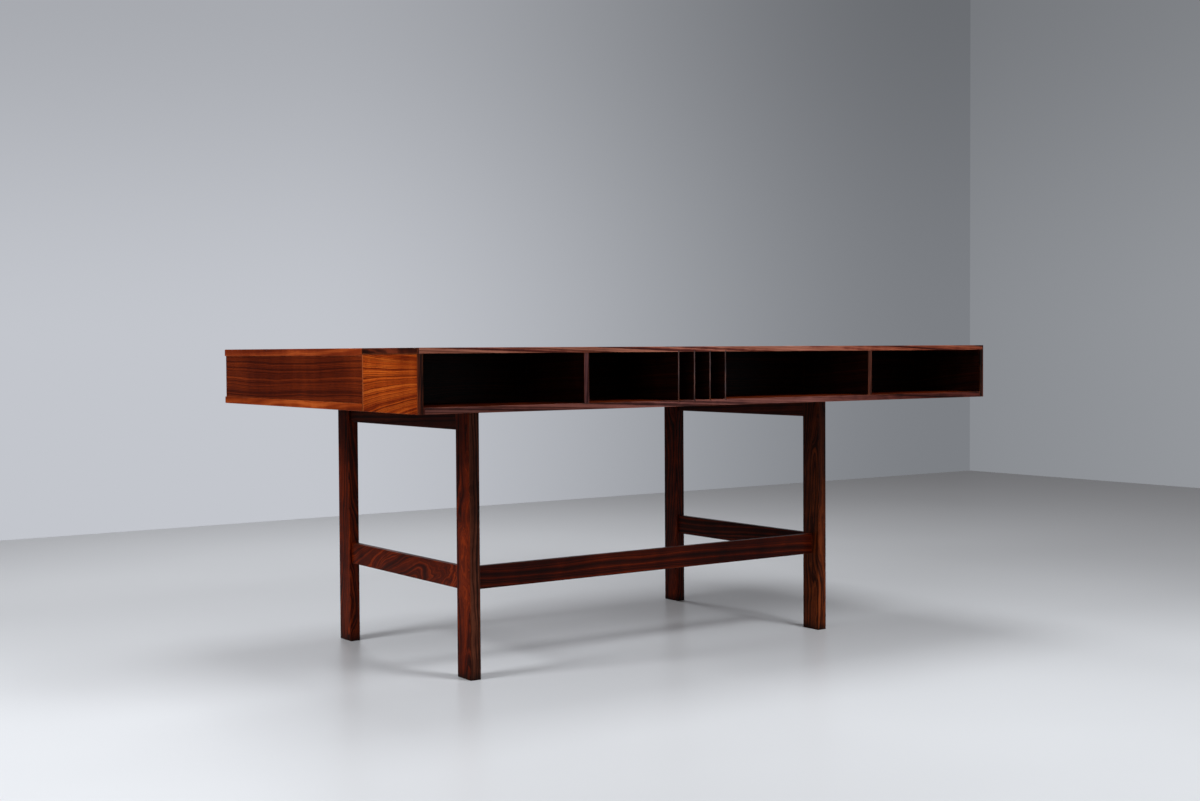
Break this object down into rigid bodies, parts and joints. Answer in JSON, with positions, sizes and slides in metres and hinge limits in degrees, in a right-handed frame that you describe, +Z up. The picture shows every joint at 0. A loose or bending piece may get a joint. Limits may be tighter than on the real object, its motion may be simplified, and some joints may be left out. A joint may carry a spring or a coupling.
{
  "type": "partners desk",
  "caption": "Long shallow desk on an open leg frame, with drawers and a hinged compartment box that extends the top or flips over onto it.",
  "frame": {"origin": "on the floor, under the middle of the desk with the box hanging down", "axes": "+X along the length, +Y towards the compartment side, +Z up"},
  "size_m": [1.628, 0.978, 0.735],
  "materials": {
    "desktop_rosewood": "oiled rosewood, satin",
    "board_rosewood": "oiled rosewood edges, satin",
    "case_rosewood": "oiled dark rosewood, satin",
    "end_rosewood": "oiled rosewood with lively grain, satin",
    "box_rosewood": "oiled dark rosewood, satin",
    "front_rosewood": "oiled rosewood, satin",
    "leg_rosewood": "oiled solid rosewood, satin",
    "frame_rosewood": "oiled solid rosewood, satin",
    "thin_divider": "thin veneered divider, satin",
    "drawer_wood": "clear lacquered light hardwood",
    "brass": "aged satin brass",
    "buffer": "dark rubber"
  },
  "bodies": {
    "desk": {"leg_rear_left": "leg_rosewood", "leg_front_left": "leg_rosewood", "end_stretcher_left": "frame_rosewood", "top_rail_left": "frame_rosewood", "leg_rear_right": "leg_rosewood", "leg_front_right": "leg_rosewood", "end_stretcher_right": "frame_rosewood", "top_rail_right": "frame_rosewood", "long_stretcher": "frame_rosewood", "desktop": "desktop_rosewood", "case_bottom": "board_rosewood", "case_end_left": "case_rosewood", "case_end_right": "case_rosewood", "case_back": "case_rosewood", "drawer_partition_1": "case_rosewood", "drawer_partition_2": "case_rosewood", "drawer_partition_3": "case_rosewood", "stop_buffer_left": "buffer", "stop_buffer_right": "buffer", "hinge_1_case_leaf": "brass", "hinge_2_case_leaf": "brass", "hinge_3_case_leaf": "brass"},
    "hinge_links": {"hinge_1_link": "brass", "hinge_2_link": "brass", "hinge_3_link": "brass"},
    "flip_box": {"box_top": "desktop_rosewood", "box_bottom": "board_rosewood", "box_end_left": "end_rosewood", "box_end_right": "end_rosewood", "box_back": "box_rosewood", "box_divider_thick_left": "box_rosewood", "box_divider_thick_right": "box_rosewood", "box_divider_thin_1": "thin_divider", "box_divider_thin_2": "thin_divider", "box_divider_thin_3": "thin_divider", "box_divider_thin_4": "thin_divider", "hinge_1_box_leaf": "brass", "hinge_2_box_leaf": "brass", "hinge_3_box_leaf": "brass"},
    "drawer_1": {"drawer_1_front": "front_rosewood", "drawer_1_side_left": "drawer_wood", "drawer_1_side_right": "drawer_wood", "drawer_1_back": "drawer_wood", "drawer_1_bottom": "drawer_wood"},
    "drawer_2": {"drawer_2_front": "front_rosewood", "drawer_2_side_left": "drawer_wood", "drawer_2_side_right": "drawer_wood", "drawer_2_back": "drawer_wood", "drawer_2_bottom": "drawer_wood"},
    "drawer_3": {"drawer_3_front": "front_rosewood", "drawer_3_side_left": "drawer_wood", "drawer_3_side_right": "drawer_wood", "drawer_3_back": "drawer_wood", "drawer_3_bottom": "drawer_wood"},
    "drawer_4": {"drawer_4_front": "front_rosewood", "drawer_4_side_left": "drawer_wood", "drawer_4_side_right": "drawer_wood", "drawer_4_back": "drawer_wood", "drawer_4_bottom": "drawer_wood"}
  },
  "joints": [
    {"name": "link_swing", "type": "hinge", "parent": "desk", "child": "hinge_links", "pos_m": [0, 0.2472, 0.7315], "axis": [1, 0, 0], "range_deg": [0, 90]},
    {"name": "box_flip", "type": "hinge", "parent": "hinge_links", "child": "flip_box", "pos_m": [0, 0.2552, 0.7315], "axis": [1, 0, 0], "range_deg": [0, 90]},
    {"name": "drawer_1_slide", "type": "slide", "parent": "desk", "child": "drawer_1", "axis": [0, -1, 0], "range_m": [0, 0.42]},
    {"name": "drawer_2_slide", "type": "slide", "parent": "desk", "child": "drawer_2", "axis": [0, -1, 0], "range_m": [0, 0.42]},
    {"name": "drawer_3_slide", "type": "slide", "parent": "desk", "child": "drawer_3", "axis": [0, -1, 0], "range_m": [0, 0.42]},
    {"name": "drawer_4_slide", "type": "slide", "parent": "desk", "child": "drawer_4", "axis": [0, -1, 0], "range_m": [0, 0.42]}
  ],
  "couplings": [
    {"joint": "link_swing", "follows": "box_flip", "ratio": 1}
  ]
}
